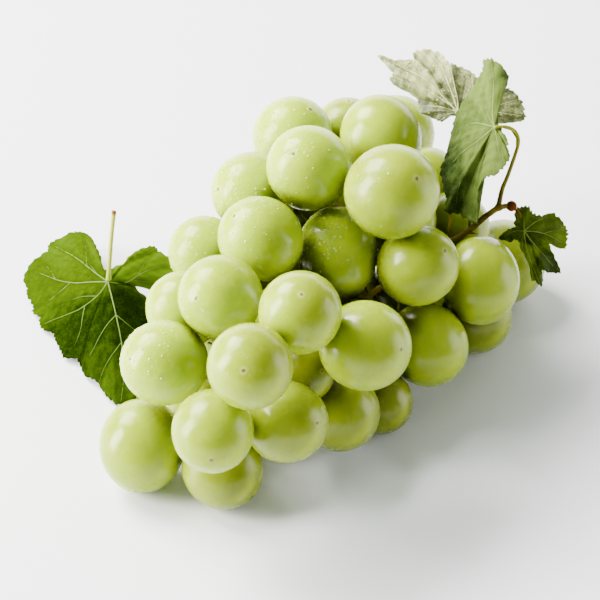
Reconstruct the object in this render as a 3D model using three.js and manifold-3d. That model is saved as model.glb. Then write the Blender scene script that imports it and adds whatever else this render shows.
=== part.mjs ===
// A bunch of large green table grapes, cut with a short piece of the shoot and its leaves, lying on a table.
// Millimetres, +Z up, +Y away from the viewer. The origin is the middle of the footprint, on the table.

import * as THREE from "three";
import { mergeVertices } from "three/addons/utils/BufferGeometryUtils.js";
import Module from "manifold-3d";

const wasm = await Module();
wasm.setup();

// Driving sizes
const berryWidth = 28; // across a typical berry; every other size follows from it
const berryLengthOverWidth = 1.06; // along its own axis, from the stalk to the scar
const restGap = 0.3; // clear space left wherever two pieces touch
const flatDepth = 0.3; // how far a resting berry is flattened by the table
const rachisWidth = 2.4; // the main stalk, where it leaves the bunch
const rachisTipWidth = 1.8;
const branchWidth = 1.7;
const pedicelWidth = 1.3;
const petioleWidth = 1.5; // of the leaves that are on the shoot
const loosePetioleWidth = 1.7;
const stalkClearance = 0.9; // from the side of a branch to a berry that it passes
const leafThickness = 0.8;
const leafClearance = 2.4; // from the middle of a blade to the berry that it lies on
const hiddenBerryWidth = 26.5;
const mostHiddenBerries = 21;

// The line of sight that the bunch was measured along: pixels in a square frame of 600, seen by a long lens
const viewElevation = THREE.MathUtils.degToRad(37);
const viewDistance = 830; // from the lens to the table in the middle of the frame
const frameCentre = 300;
const typicalBerryPixels = 82; // across a berry of berryWidth at berryDistance
const berryDistance = 750;
const focalPixels = (berryDistance * typicalBerryPixels) / berryWidth;

const viewRight = new THREE.Vector3(1, 0, 0);
const viewForward = new THREE.Vector3(0, Math.cos(viewElevation), -Math.sin(viewElevation));
const viewUp = new THREE.Vector3(0, Math.sin(viewElevation), Math.cos(viewElevation));
const lens = viewForward.clone().multiplyScalar(-viewDistance);

// The berries that show: the middle of each and its width in pixels, the height of its middle over the table
// in millimetres, the pixel under which its free end lies, where that can be seen, and its length over its
// width, where it is longer than most.
const seenBerries = [
  { x: 392, y: 192, across: 93, height: 78, end: [413, 182] },
  { x: 309, y: 168, across: 84, height: 80, end: [294.5, 157] },
  { x: 261, y: 240, across: 84, height: 67, end: [237, 219.4] },
  { x: 220, y: 297, across: 82, height: 59, end: [199, 298.6] },
  { x: 165, y: 362, across: 84, height: 40, end: [135, 358] },
  { x: 250.5, y: 366, across: 83, height: 54, end: [245.7, 368.3] },
  { x: 300.5, y: 313.5, across: 81, height: 63, end: [301.5, 297] },
  { x: 213.5, y: 431, across: 81, height: 38, end: [213.6, 455.7] },
  { x: 143.5, y: 446, across: 86, height: 15, end: [143, 494], long: 1.11 },
  { x: 221, y: 468, across: 80, height: 13.5 },
  { x: 286, y: 421, across: 80, height: 28 },
  { x: 363, y: 346, across: 88, height: 46, end: [395, 348.4] },
  { x: 338, y: 408, across: 81, height: 21 },
  { x: 378, y: 402, across: 65, height: 11 },
  { x: 416.5, y: 265, across: 80, height: 52, end: [440, 252] },
  { x: 425, y: 343, across: 81, height: 20 },
  { x: 480, y: 280.5, across: 79, height: 38, end: [481, 325], long: 1.13 },
  { x: 472, y: 317, across: 74, height: 13 },
  { x: 503, y: 262, across: 86, height: 22 },
  { x: 339, y: 254.5, across: 80, height: 54, end: [341, 300], long: 1.18 },
  { x: 381, y: 137, across: 81, height: 78 },
  { x: 293, y: 138, across: 79, height: 70, end: [310, 114] },
  { x: 347, y: 135, across: 72, height: 61, end: [348, 104.6] },
  { x: 396, y: 134, across: 78, height: 54 },
  { x: 255, y: 193, across: 82, height: 61, end: [221.7, 190.7] },
  { x: 207, y: 254, across: 72, height: 48 },
  { x: 185, y: 311, across: 73, height: 42 },
  { x: 428, y: 181, across: 68, height: 54 },
  { x: 453, y: 228, across: 72, height: 40 },
  { x: 303, y: 372, across: 64, height: 30 },
  { x: 322, y: 208, across: 74, height: 46 },
];

// The main stalk from the tip of the bunch to the shoot that it was cut with: pixel, pixel, height
const rachisRoute = [
  [196, 428, 24],
  [258, 364, 29],
  [320, 322, 33],
  [376, 291, 38],
  [420, 258, 45],
  [451, 242, 51],
  [470, 230, 55],
  [487, 215, 60],
  [499, 207, 62],
];

function seenAt(x, y, height) {
  const ray = viewForward.clone();
  ray.addScaledVector(viewRight, (x - frameCentre) / focalPixels);
  ray.addScaledVector(viewUp, (frameCentre - y) / focalPixels);
  return ray.multiplyScalar((height - lens.z) / ray.z).add(lens);
}

function depthOf(point) {
  return point.clone().sub(lens).dot(viewForward);
}

function pixelOf(point) {
  const away = point.clone().sub(lens);
  const scale = focalPixels / away.dot(viewForward);
  return [frameCentre + away.dot(viewRight) * scale, frameCentre - away.dot(viewUp) * scale];
}

const rachisPoints = rachisRoute.map(([x, y, height]) => seenAt(x, y, height));
const rachisCurve = new THREE.CatmullRomCurve3(rachisPoints);
const rachisSampleCount = 60;
const rachisSamples = rachisCurve.getSpacedPoints(rachisSampleCount);

function nearestOnRachis(point) {
  let best = 0;
  rachisSamples.forEach((sample, i) => {
    if (sample.distanceTo(point) < rachisSamples[best].distanceTo(point)) best = i;
  });
  return best;
}

// A berry: its middle, its radius across, its length over its width, its long axis towards the free end, and
// the place where it was seen.
function seenBerry({ x, y, across, height, end, long = berryLengthOverWidth }) {
  const middle = seenAt(x, y, height);
  const radius = (across / 2 / focalPixels) * depthOf(middle);
  const home = middle.clone();
  return { middle, radius, long, home, axis: end ? axisFromEnd([x, y], across / 2, end) : null };
}

// The free end lies on the near half of the berry.
function axisFromEnd([x, y], pixelRadius, [endX, endY]) {
  const right = (endX - x) / pixelRadius;
  const up = (y - endY) / pixelRadius;
  const near = Math.sqrt(Math.max(0, 1 - right * right - up * up));
  const axis = viewRight.clone().multiplyScalar(right).addScaledVector(viewUp, up);
  return axis.addScaledVector(viewForward, -near).normalize();
}

function axisOf(berry) {
  return berry.axis ?? berry.middle.clone().sub(rachisSamples[nearestOnRachis(berry.middle)]).normalize();
}

// Half the berry's extent along a direction: it is a little longer along its axis.
function reach(berry, direction) {
  const along = direction.dot(axisOf(berry));
  const half = berry.long * along;
  return berry.radius * Math.sqrt(1 - along * along + half * half);
}

// Lets the berries find their places: each keeps to its line of sight, and none enters another, the table or
// the main stalk.
const settlingSteps = 1500;
const freeSteps = 120; // the last steps, with nothing pulling, so that no overlap is left

function settle(berries) {
  for (let step = 0; step < settlingSteps; step++) {
    const pull = step < settlingSteps - freeSteps ? 1 : 0;
    for (const berry of berries) pullHome(berry, pull);
    for (let i = 0; i < berries.length; i++) {
      for (let j = i + 1; j < berries.length; j++) pushApart(berries[i], berries[j]);
    }
    for (const berry of berries) keepClear(berry);
  }
}

const sightPull = 0.9; // share of the way back to the line of sight, each step
const heightPull = 0.003; // share of the way back to the height it was seen at, each step
const stalkPull = 0.006; // share of the way to the main stalk, each step
const stalkRoom = 1.6; // clear space between the main stalk and a berry
const tableReach = 6; // a berry less than this above the table comes down to rest on it
const tableDrop = 0.15; // how far it comes down, each step

function pullHome(berry, pull) {
  if (berry.middle.z - berry.radius < tableReach) berry.middle.z -= tableDrop * pull;
  if (berry.home) {
    const sight = berry.home.clone().sub(lens).normalize();
    const along = berry.middle.clone().sub(lens).dot(sight);
    berry.middle.lerp(sight.multiplyScalar(along).add(lens), sightPull * pull);
    berry.middle.lerp(berry.home, heightPull * pull);
  } else {
    const stalk = rachisSamples[nearestOnRachis(berry.middle)];
    berry.middle.lerp(stalk, stalkPull * pull);
  }
}

function pushApart(first, second) {
  const between = second.middle.clone().sub(first.middle);
  const distance = between.length();
  if (distance > first.radius * first.long + second.radius * second.long + restGap) return;
  between.divideScalar(distance);
  const lack = reach(first, between) + reach(second, between) + restGap - distance;
  if (lack <= 0) return;
  first.middle.addScaledVector(between, -lack / 2);
  second.middle.addScaledVector(between, lack / 2);
}

function keepClear(berry) {
  const lowest = reach(berry, new THREE.Vector3(0, 0, 1)) - flatDepth;
  if (berry.middle.z < lowest) berry.middle.z = lowest;
  const away = berry.middle.clone().sub(rachisSamples[nearestOnRachis(berry.middle)]);
  const lack = berry.radius + rachisWidth / 2 + stalkRoom - away.length();
  if (lack > 0) berry.middle.addScaledVector(away.normalize(), lack);
}

const edgeTests = 12; // points round a ball's outline that are looked at
const edgeShare = 0.86; // how far out they lie, so that a sliver of a hidden berry may still show

// Whether a ball would be behind the berries in front of it.
function isHidden(middle, radius, berries) {
  const [x, y] = pixelOf(middle);
  const testRadius = (edgeShare * radius * focalPixels) / depthOf(middle);
  for (let i = 0; i < edgeTests; i++) {
    const turn = (i * 2 * Math.PI) / edgeTests;
    const edge = [x + testRadius * Math.cos(turn), y + testRadius * Math.sin(turn)];
    const covered = berries.some((berry) => {
      const [bx, by] = pixelOf(berry.middle);
      const cover = (berry.radius * focalPixels) / depthOf(berry.middle);
      return depthOf(berry.middle) < depthOf(middle) && Math.hypot(edge[0] - bx, edge[1] - by) < cover;
    });
    if (!covered) return false;
  }
  return true;
}

// The far side, the underside and the inside hold berries too: places are tried in turn round the main stalk,
// in rings of many widths, and a berry goes wherever there is room that the viewer can't see.
const goldenTurn = Math.PI * (3 - Math.sqrt(5));
const trialPlaces = 4000;
const trialsAlong = { stride: 7, count: 97, first: 0.02, span: 0.95 }; // places along the main stalk
const trialRings = { stride: 13, count: 31, inner: 14, span: 58 }; // distances from it
const squeeze = 0.92; // how near a new berry may start to its neighbours, before they settle
const sinkage = 3; // how far below its rest a new berry may start

function shareOf({ stride, count }, i) {
  return ((i * stride) % count) / count;
}

function hiddenBerries(seen) {
  const hidden = [];
  const radius = hiddenBerryWidth / 2;
  for (let i = 0; i < trialPlaces && hidden.length < mostHiddenBerries; i++) {
    const along = trialsAlong.first + trialsAlong.span * shareOf(trialsAlong, i);
    const ring = trialRings.inner + trialRings.span * shareOf(trialRings, i);
    const stalk = rachisCurve.getPointAt(along);
    const tangent = rachisCurve.getTangentAt(along);
    const side = new THREE.Vector3(0, 0, 1).cross(tangent).normalize();
    const up = tangent.clone().cross(side).normalize();
    const turn = i * goldenTurn;
    const middle = stalk.clone();
    middle.addScaledVector(side, ring * Math.cos(turn)).addScaledVector(up, ring * Math.sin(turn));
    if (middle.z < radius - sinkage) continue;
    middle.z = Math.max(middle.z, radius);
    const room = [...seen, ...hidden].every(
      (berry) => berry.middle.distanceTo(middle) > squeeze * (berry.radius + radius),
    );
    if (room && isHidden(middle, radius, seen)) {
      hidden.push({ middle, radius, long: berryLengthOverWidth, home: null, axis: null });
    }
  }
  return hidden;
}

const shownBerries = seenBerries.map(seenBerry);
settle(shownBerries);
const berries = [...shownBerries, ...hiddenBerries(shownBerries)];
settle(berries);

// Turns a closed geometry into a solid that can be joined and cut.
function solidOf(geometry) {
  geometry.deleteAttribute("normal");
  geometry.deleteAttribute("uv");
  const merged = mergeVertices(geometry, 1e-4);
  const triVerts = new Uint32Array(merged.index.array);
  return new wasm.Manifold(
    new wasm.Mesh({ numProp: 3, vertProperties: merged.attributes.position.array, triVerts }),
  );
}

function geometryOf(solid) {
  const { vertProperties, triVerts } = solid.getMesh();
  const geometry = new THREE.BufferGeometry();
  geometry.setAttribute("position", new THREE.BufferAttribute(vertProperties, 3));
  return geometry.setIndex(new THREE.BufferAttribute(triVerts, 1));
}

const berryDetail = 2; // each face of an icosahedron is split into nine
const tableSize = 400;

function berryGeometry(berry, extra = 0) {
  const geometry = new THREE.IcosahedronGeometry(1, berryDetail);
  const across = berry.radius + extra;
  geometry.scale(across, across, berry.radius * berry.long + extra);
  const turn = new THREE.Quaternion().setFromUnitVectors(new THREE.Vector3(0, 0, 1), axisOf(berry));
  geometry.applyQuaternion(turn);
  return geometry.translate(...berry.middle.toArray());
}

// Below the table's surface nothing of a berry is left: it rests there on a small flat spot.
function restingBerry(berry) {
  const geometry = berryGeometry(berry);
  geometry.computeBoundingBox();
  if (geometry.boundingBox.min.z >= 0) return geometry;
  const table = new THREE.BoxGeometry(tableSize, tableSize, tableSize).translate(0, 0, -tableSize / 2);
  return geometryOf(solidOf(geometry).subtract(solidOf(table)));
}

function tube(points, width, sides, steps) {
  const section = new THREE.Shape();
  for (let i = 0; i < sides; i++) {
    const turn = (i * 2 * Math.PI) / sides;
    section.lineTo((width / 2) * Math.cos(turn), (width / 2) * Math.sin(turn));
  }
  const extrudePath = new THREE.CatmullRomCurve3(points);
  return new THREE.ExtrudeGeometry(section, { steps, bevelEnabled: false, extrudePath });
}

const bendPoints = [0, 0.2, 0.4, 0.6, 0.8, 1]; // shares of the way
const bendSteps = 60;
const bendEase = 0.2; // share of the way to a straight line, each step

// Moves a point of a branch out of every berry.
function pushOut(point, width) {
  for (const berry of berries) {
    const away = point.clone().sub(berry.middle);
    const lack = berry.radius * berry.long + width / 2 + stalkClearance - away.length();
    if (lack > 0) point.addScaledVector(away.normalize(), lack);
  }
}

// Bends a route clear of every berry, with its ends kept.
function bentClear(from, to, width) {
  const points = bendPoints.map((share) => from.clone().lerp(to, share));
  for (let step = 0; step < bendSteps; step++) {
    for (let i = 1; i < points.length - 1; i++) {
      const between = points[i - 1].clone().add(points[i + 1]).multiplyScalar(0.5);
      points[i].lerp(between, bendEase);
      pushOut(points[i], width);
    }
  }
  return points;
}

// Berries that hang near each other share a side branch of the main stalk.
const branchSpacing = 6; // in samples of the main stalk
const branchForward = 4; // a branch leaves the stalk this much nearer to the shoot than its berries are
const branchSides = 3; // ways round the stalk that branches leave it
const branchReach = 0.42; // share of the way to its berries that a branch goes before it splits
const forkSteps = 20; // times that the place where it splits is moved out of the berries
const lastBranch = 48; // the sample beyond which the shoot is bare

function sideBranches() {
  const groups = new Map();
  for (const berry of berries) {
    const nearest = nearestOnRachis(berry.middle);
    const from = Math.min(lastBranch, Math.round((nearest + branchForward) / branchSpacing) * branchSpacing);
    const away = berry.middle.clone().sub(rachisSamples[nearest]);
    const turn = Math.atan2(away.dot(viewUp), away.dot(viewRight)) + Math.PI;
    const key = `${from} ${Math.floor((turn / (2 * Math.PI)) * branchSides)}`;
    if (!groups.has(key)) groups.set(key, { from: rachisSamples[from], ends: [] });
    groups.get(key).ends.push(stalkEnd(berry));
  }
  return [...groups.values()];
}

function stalkEnd(berry) {
  const axis = axisOf(berry);
  return berry.middle.clone().addScaledVector(axis, -(berry.radius * berry.long + 2 * restGap));
}

// The shoot's end: leaf stalks, the cut knob, and the scars of lost branches
const greenPetiole = [
  [499, 207, 62],
  [502, 190, 66],
  [508, 175, 71],
  [515, 155, 79],
  [518, 142, 85],
  [515, 132, 89],
  [509, 127.5, 91],
  [502.5, 126.3, 92],
];
const palePetiole = [
  [470, 230, 55],
  [469, 205, 58],
  [471, 170, 63],
  [468, 142, 68],
  [464, 124, 70],
];
const smallPetiole = [
  [499, 207, 62],
  [507, 206.5, 61.5],
  [515, 209, 60],
  [521, 218, 57],
  [523, 227, 54.5],
];
const strayPedicel = [
  [450, 240, 51],
  [449, 228, 54],
  [451, 217, 56],
  [450, 208, 57],
];
const knobs = [
  { at: [511.5, 206, 61.5], radius: 2 },
  { at: [483, 228, 57.5], radius: 1.4 },
  { at: [499, 207, 62], radius: 1.6 },
];

function alongSight(route) {
  return route.map(([x, y, height]) => seenAt(x, y, height));
}

// The main stalk in two lengths that share a little of it: the points from one share of it to another
const stemStretch = { first: 0.47, last: 1, points: 12 };
const tipStretch = { first: 0, last: 0.5, points: 7 };

function rachisStretch({ first, last, points }) {
  const step = (last - first) / (points - 1);
  return Array.from({ length: points }, (_, i) => rachisCurve.getPointAt(first + step * i));
}

// Sides and steps of each tube
const stemMesh = [7, 12];
const tipMesh = [6, 8];
const branchMesh = [4, 3];
const pedicelMesh = [3, 4];
const petioleMesh = [5, 9];
const loosePetioleMesh = [6, 8];

function stalkGeometry() {
  const stem = tube(rachisStretch(stemStretch), rachisWidth, ...stemMesh);
  const tip = tube(rachisStretch(tipStretch), rachisTipWidth, ...tipMesh);
  let stalk = solidOf(stem).add(solidOf(tip));
  for (const { from, ends } of sideBranches()) {
    const heart = ends.reduce((sum, end) => sum.add(end), new THREE.Vector3()).divideScalar(ends.length);
    const fork = from.clone().lerp(heart, branchReach);
    for (let step = 0; step < forkSteps; step++) pushOut(fork, branchWidth);
    stalk = stalk.add(solidOf(tube(bentClear(from, fork, branchWidth), branchWidth, ...branchMesh)));
    for (const end of ends) {
      stalk = stalk.add(solidOf(tube(bentClear(fork, end, pedicelWidth), pedicelWidth, ...pedicelMesh)));
    }
  }
  for (const route of [greenPetiole, palePetiole, smallPetiole]) {
    stalk = stalk.add(solidOf(tube(alongSight(route), petioleWidth, ...petioleMesh)));
  }
  stalk = stalk.add(solidOf(tube(alongSight(strayPedicel), pedicelWidth, ...petioleMesh)));
  for (const { at, radius } of knobs) {
    const knob = new THREE.IcosahedronGeometry(radius, 1).translate(...seenAt(...at).toArray());
    stalk = stalk.add(solidOf(knob));
  }
  for (const berry of berries) stalk = stalk.subtract(solidOf(berryGeometry(berry, restGap)));
  for (const leaf of [greenLeaf, paleLeaf, smallLeaf]) {
    stalk = stalk.subtract(solidOf(bladeGeometry(leaf, restGap)));
  }
  const bodies = stalk.decompose().sort((a, b) => b.volume() - a.volume());
  return geometryOf(bodies[0]);
}

// Leaves: where the leaf stalk meets the blade, and points round the blade's edge, lobe tips and notches
// alike, as pixel, pixel and height over the table
const leftLeaf = {
  junction: [108, 282, 18],
  rim: [
    [101, 272, 18], [94, 257, 16], [93, 245, 14], [90, 237, 12], [82.5, 232.5, 10], [74.5, 233, 8],
    [61, 239, 7], [49, 244, 5], [48, 252, 5], [33, 261, 3], [24, 278, 2], [28, 289, 2], [28, 296, 1.5],
    [33, 305, 1.5], [33, 312, 1.5], [40, 318, 2], [40, 326, 1.5], [46, 331, 1.5], [54.5, 334, 2.5],
    [57, 342, 1.5], [61.5, 351, 2], [65, 358, 1.5], [77, 359, 3], [81, 367, 1.5], [86, 377, 1.5],
    [94, 379, 3], [102, 389, 2], [108, 397, 1.5], [118, 405, 1], [137, 398, 2], [149, 376, 3], [154, 345, 5],
    [150, 306, 8], [132, 284, 13], [158, 291, 8], [180, 280, 6], [174, 262, 8], [158, 252, 10],
    [153, 247, 11], [141, 250, 14], [126, 264, 17],
  ],
};
const leftPetiole = [
  [108.5, 279, 21],
  [109.5, 262, 29],
  [111.5, 236, 39],
  [114, 211, 48],
];
const greenLeaf = {
  junction: [494.5, 127, 92],
  rim: [
    [496, 115, 93], [499, 98, 96], [504, 87, 98], [507, 75.5, 100], [499, 64, 102], [490.5, 59, 102],
    [484, 61, 100], [485, 66, 99], [481, 76, 96], [472, 91, 91], [461, 107, 85], [453, 126, 79],
    [450, 144.5, 75], [445, 160.5, 71], [441, 169, 69], [444, 185, 67], [447, 199, 64], [446, 212, 61],
    [460, 214, 60], [472, 222, 60], [478, 222, 62], [477, 194, 71], [482.5, 182, 76], [486.5, 177, 79],
    [496, 175, 82], [504, 167, 85], [509, 159, 87], [507, 150, 88], [508, 143, 90], [503, 134, 91],
  ],
};
const paleLeaf = {
  junction: [458, 113, 75],
  rim: [
    [449, 115, 74], [441, 121, 72], [430, 117, 72], [420, 112, 73], [417, 100, 75], [397, 87, 79],
    [389, 79, 81], [393, 73.5, 82], [377, 55, 85], [393, 60, 86], [413, 59, 88], [413, 52, 89],
    [426, 49, 90], [440, 53, 90], [449, 63, 89], [457, 65, 88], [472, 72, 86], [480, 80, 84],
    [505, 87, 81], [515, 92, 79], [523, 104, 76], [525, 118, 73], [519, 122, 72], [497, 124, 71],
    [475, 119, 73],
  ],
};
const smallLeaf = {
  junction: [523, 231, 54],
  rim: [
    [516, 211, 56], [515, 226, 54], [507, 230, 51], [499, 239, 47], [507, 245, 47], [514, 239, 50],
    [520.5, 243, 50], [520, 260, 46], [520.5, 272, 42], [526, 273, 42], [529, 280, 40], [535, 281, 39],
    [542, 287, 37], [542, 278, 39], [540, 262, 44], [544.5, 271, 42], [552, 273, 40], [560, 272, 39],
    [556, 260, 43], [549, 244, 49], [557, 248, 47], [565, 248, 45], [567, 237, 48], [567, 229, 50],
    [561, 221, 53], [552, 213, 56], [542, 216, 57], [533, 214, 58], [528, 206.5, 60], [520, 207, 59],
  ],
};

const bladeRings = [0.3, 0.55, 0.8, 1]; // shares of the way from the junction to the edge
const drapeSteps = 8;
const tableGap = 0.05; // under a blade that lies on the table
const bladeDome = 0.05; // how far the blade bulges between the two, as a share of that way

// Lifts a point of a blade off any berry that it would enter.
function draped(point) {
  for (let step = 0; step < drapeSteps; step++) {
    for (const berry of berries) {
      const away = point.clone().sub(berry.middle);
      const lack = berry.radius * berry.long + leafClearance - away.length();
      if (lack > 0) point.addScaledVector(away.normalize(), lack);
    }
  }
  point.z = Math.max(point.z, leafThickness / 2 + tableGap);
  return point;
}

// A blade is a fan of rings, the same on both faces, half its thickness either side of its middle surface.
function bladeGeometry({ junction, rim }, extra = 0) {
  const heart = seenAt(...junction);
  const edge = alongSight(rim);
  const middles = [draped(heart.clone())];
  for (const share of bladeRings) {
    for (const tip of edge) {
      const point = heart.clone().lerp(tip, share);
      point.z += 4 * bladeDome * share * (1 - share) * heart.distanceTo(tip);
      middles.push(draped(point));
    }
  }
  const count = edge.length;
  const faces = [];
  for (let i = 0; i < count; i++) {
    const next = (i + 1) % count;
    faces.push([0, 1 + i, 1 + next]);
    for (let ring = 1; ring < bladeRings.length; ring++) {
      const inner = 1 + (ring - 1) * count;
      const outer = inner + count;
      faces.push([inner + i, outer + i, outer + next], [inner + i, outer + next, inner + next]);
    }
  }
  const lift = faceNormals(middles, faces);
  const half = leafThickness / 2 + extra;
  const top = middles.map((point, i) => point.clone().addScaledVector(lift[i], half));
  const bottom = middles.map((point, i) => point.clone().addScaledVector(lift[i], -half));
  const all = [...top, ...bottom];
  for (const point of all) point.z = Math.max(point.z, 0);
  const under = middles.length;
  const skin = [...faces];
  for (const [a, b, c] of faces) skin.push([under + a, under + c, under + b]);
  const last = 1 + (bladeRings.length - 1) * count;
  for (let i = 0; i < count; i++) {
    const here = last + i;
    const next = last + ((i + 1) % count);
    skin.push([here, under + here, under + next], [here, under + next, next]);
  }
  return new THREE.BufferGeometry().setFromPoints(all).setIndex(skin.flat());
}

function faceNormals(points, faces) {
  const normals = points.map(() => new THREE.Vector3());
  for (const [a, b, c] of faces) {
    const first = points[b].clone().sub(points[a]);
    const across = first.cross(points[c].clone().sub(points[a]));
    for (const i of [a, b, c]) normals[i].add(across);
  }
  return normals.map((normal) => normal.normalize());
}

// The finished bunch
const bunch = new THREE.Group();
const placed = new THREE.Group();
placed.add(bunch);

function addPiece(name, geometry, color, roughness) {
  const mesh = new THREE.Mesh(geometry, new THREE.MeshStandardMaterial({ color, roughness, metalness: 0 }));
  mesh.name = name;
  bunch.add(mesh);
}

berries.forEach((berry, i) => {
  addPiece(`berry_${String(i + 1).padStart(2, "0")}`, restingBerry(berry), "#bccb45", 0.3);
});
addPiece("stalk", stalkGeometry(), "#6f6a2a", 0.7);
addPiece("leaf_left", bladeGeometry(leftLeaf), "#5f8a1e", 0.6);
const loosePetiole = tube(alongSight(leftPetiole), loosePetioleWidth, ...loosePetioleMesh);
addPiece("petiole_left", loosePetiole, "#b9b56a", 0.5);
addPiece("leaf_green", bladeGeometry(greenLeaf), "#6d9a3a", 0.6);
addPiece("leaf_pale", bladeGeometry(paleLeaf), "#a9af8c", 0.5);
addPiece("leaf_small", bladeGeometry(smallLeaf), "#3e6b1e", 0.45);

const box = new THREE.Box3().setFromObject(bunch);
const centre = box.getCenter(new THREE.Vector3());
bunch.position.set(-centre.x, -centre.y, 0);

export default placed;
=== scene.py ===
import math
import bpy
import numpy as np
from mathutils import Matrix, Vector
from mathutils.bvhtree import BVHTree


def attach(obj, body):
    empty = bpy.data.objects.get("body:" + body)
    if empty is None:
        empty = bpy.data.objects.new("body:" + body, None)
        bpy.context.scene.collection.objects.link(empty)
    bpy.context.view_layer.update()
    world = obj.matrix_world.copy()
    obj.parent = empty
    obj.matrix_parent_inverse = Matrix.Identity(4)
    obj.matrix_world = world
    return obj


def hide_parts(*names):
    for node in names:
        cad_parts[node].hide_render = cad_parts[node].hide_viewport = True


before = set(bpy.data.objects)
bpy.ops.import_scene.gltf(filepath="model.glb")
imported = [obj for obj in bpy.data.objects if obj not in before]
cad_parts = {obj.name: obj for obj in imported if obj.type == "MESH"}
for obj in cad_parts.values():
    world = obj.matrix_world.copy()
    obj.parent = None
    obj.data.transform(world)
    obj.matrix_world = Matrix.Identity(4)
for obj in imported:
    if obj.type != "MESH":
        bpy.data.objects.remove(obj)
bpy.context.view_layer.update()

mm = 0.001

# The line of sight that the bunch was measured along. Pixels are those of a square frame of 600.
viewing = {
    "elevation": math.radians(37),
    "distance": 830 * mm,  # from the lens to the table in the middle of the frame
    "focalPixels": 750 * 82 / 28,  # a berry 28 mm across and 750 mm away is 82 pixels across
    "frameCentre": 300,
    "frameSize": 600,
    "sensor": 36,
    "origin": Vector((5.217, 45.448, 0)) * mm,  # from that middle to the model's own origin
}
viewRight = Vector((1, 0, 0))
viewForward = Vector((0, math.cos(viewing["elevation"]), -math.sin(viewing["elevation"])))
viewUp = Vector((0, math.sin(viewing["elevation"]), math.cos(viewing["elevation"])))
lensPlace = viewing["origin"] - viewForward * viewing["distance"]


# The point under a pixel, at a height over the table in millimetres
def seenAt(x, y, height):
    ray = viewForward.copy()
    ray += viewRight * ((x - viewing["frameCentre"]) / viewing["focalPixels"])
    ray += viewUp * ((viewing["frameCentre"] - y) / viewing["focalPixels"])
    return lensPlace + ray * ((height * mm - lensPlace.z) / ray.z)


def addCamera():
    data = bpy.data.cameras.new("photoCamera")
    data.sensor_width = viewing["sensor"]
    data.lens = viewing["focalPixels"] / viewing["frameSize"] * viewing["sensor"]
    camera = bpy.data.objects.new("photoCamera", data)
    camera.location = lensPlace
    camera.rotation_euler = (math.pi / 2 - viewing["elevation"], 0, 0)
    bpy.context.scene.collection.objects.link(camera)
    bpy.context.scene.camera = camera


# Small helpers for meshes and node trees

def makeObject(name, points, faces):
    mesh = bpy.data.meshes.new(name)
    mesh.from_pydata([tuple(p) for p in points], [], faces)
    mesh.update()
    return placeMesh(mesh)


def placeMesh(mesh):
    mesh.polygons.foreach_set("use_smooth", [True] * len(mesh.polygons))
    piece = bpy.data.objects.new(mesh.name, mesh)
    bpy.context.scene.collection.objects.link(piece)
    return piece


def setValues(piece, name, values):
    attribute = piece.data.attributes.new(name, "FLOAT", "POINT")
    attribute.data.foreach_set("value", np.asarray(values, dtype=np.float32))


def finishPiece(piece, material, slot, *nodes):
    piece.data.materials.clear()
    piece.data.materials.append(material)
    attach(piece, "root")
    if nodes:
        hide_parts(*nodes)


def startMaterial(name):
    material = bpy.data.materials.new(name)
    material.use_nodes = True
    return material, material.node_tree, material.node_tree.nodes["Principled BSDF"]


def addNode(tree, kind, values=None):
    node = tree.nodes.new(kind)
    for key, value in (values or {}).items():
        if key in node.inputs:
            node.inputs[key].default_value = value
        else:
            setattr(node, key, value)
    return node


def objectCoordinates(tree):
    return addNode(tree, "ShaderNodeTexCoord").outputs["Object"]


def noiseOf(tree, scale, detail=3.0, roughness=0.5):
    node = addNode(tree, "ShaderNodeTexNoise", {"Scale": scale, "Detail": detail, "Roughness": roughness})
    tree.links.new(objectCoordinates(tree), node.inputs["Vector"])
    return node.outputs["Fac"]


def attributeOf(tree, name):
    return addNode(tree, "ShaderNodeAttribute", {"attribute_name": name}).outputs["Fac"]


def remap(tree, source, low, high, toLow=0.0, toHigh=1.0, smooth=True):
    node = tree.nodes.new("ShaderNodeMapRange")
    node.interpolation_type = "SMOOTHSTEP" if smooth else "LINEAR"
    for socket, value in (("From Min", low), ("From Max", high), ("To Min", toLow), ("To Max", toHigh)):
        node.inputs[socket].default_value = value
    tree.links.new(source, node.inputs["Value"])
    return node.outputs["Result"]


def mixColours(tree, factor, first, second):
    node = tree.nodes.new("ShaderNodeMix")
    node.data_type = "RGBA"
    factorIn, firstIn, secondIn = node.inputs[0], node.inputs[6], node.inputs[7]
    for socket, value in ((factorIn, factor), (firstIn, first), (secondIn, second)):
        if isinstance(value, bpy.types.NodeSocket):
            tree.links.new(value, socket)
        else:
            socket.default_value = value
    return node.outputs[2]


def calculate(tree, operation, first, second=None):
    node = tree.nodes.new("ShaderNodeMath")
    node.operation = operation
    for socket, value in zip(node.inputs, (first, second)):
        if isinstance(value, bpy.types.NodeSocket):
            tree.links.new(value, socket)
        elif value is not None:
            socket.default_value = value
    return node.outputs[0]


def addBump(tree, shader, height, strength, distance):
    bump = addNode(tree, "ShaderNodeBump", {"Strength": strength, "Distance": distance})
    tree.links.new(height, bump.inputs["Height"])
    tree.links.new(bump.outputs["Normal"], shader.inputs["Normal"])


def setShader(shader, **values):
    names = {
        "roughness": "Roughness",
        "subsurface": "Subsurface Weight",
        "subsurfaceRadius": "Subsurface Radius",
        "subsurfaceScale": "Subsurface Scale",
        "specular": "Specular IOR Level",
        "specularTint": "Specular Tint",
        "ior": "IOR",
        "transmission": "Transmission Weight",
        "colour": "Base Color",
    }
    for key, value in values.items():
        shader.inputs[names[key]].default_value = value


# Grapes

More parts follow.
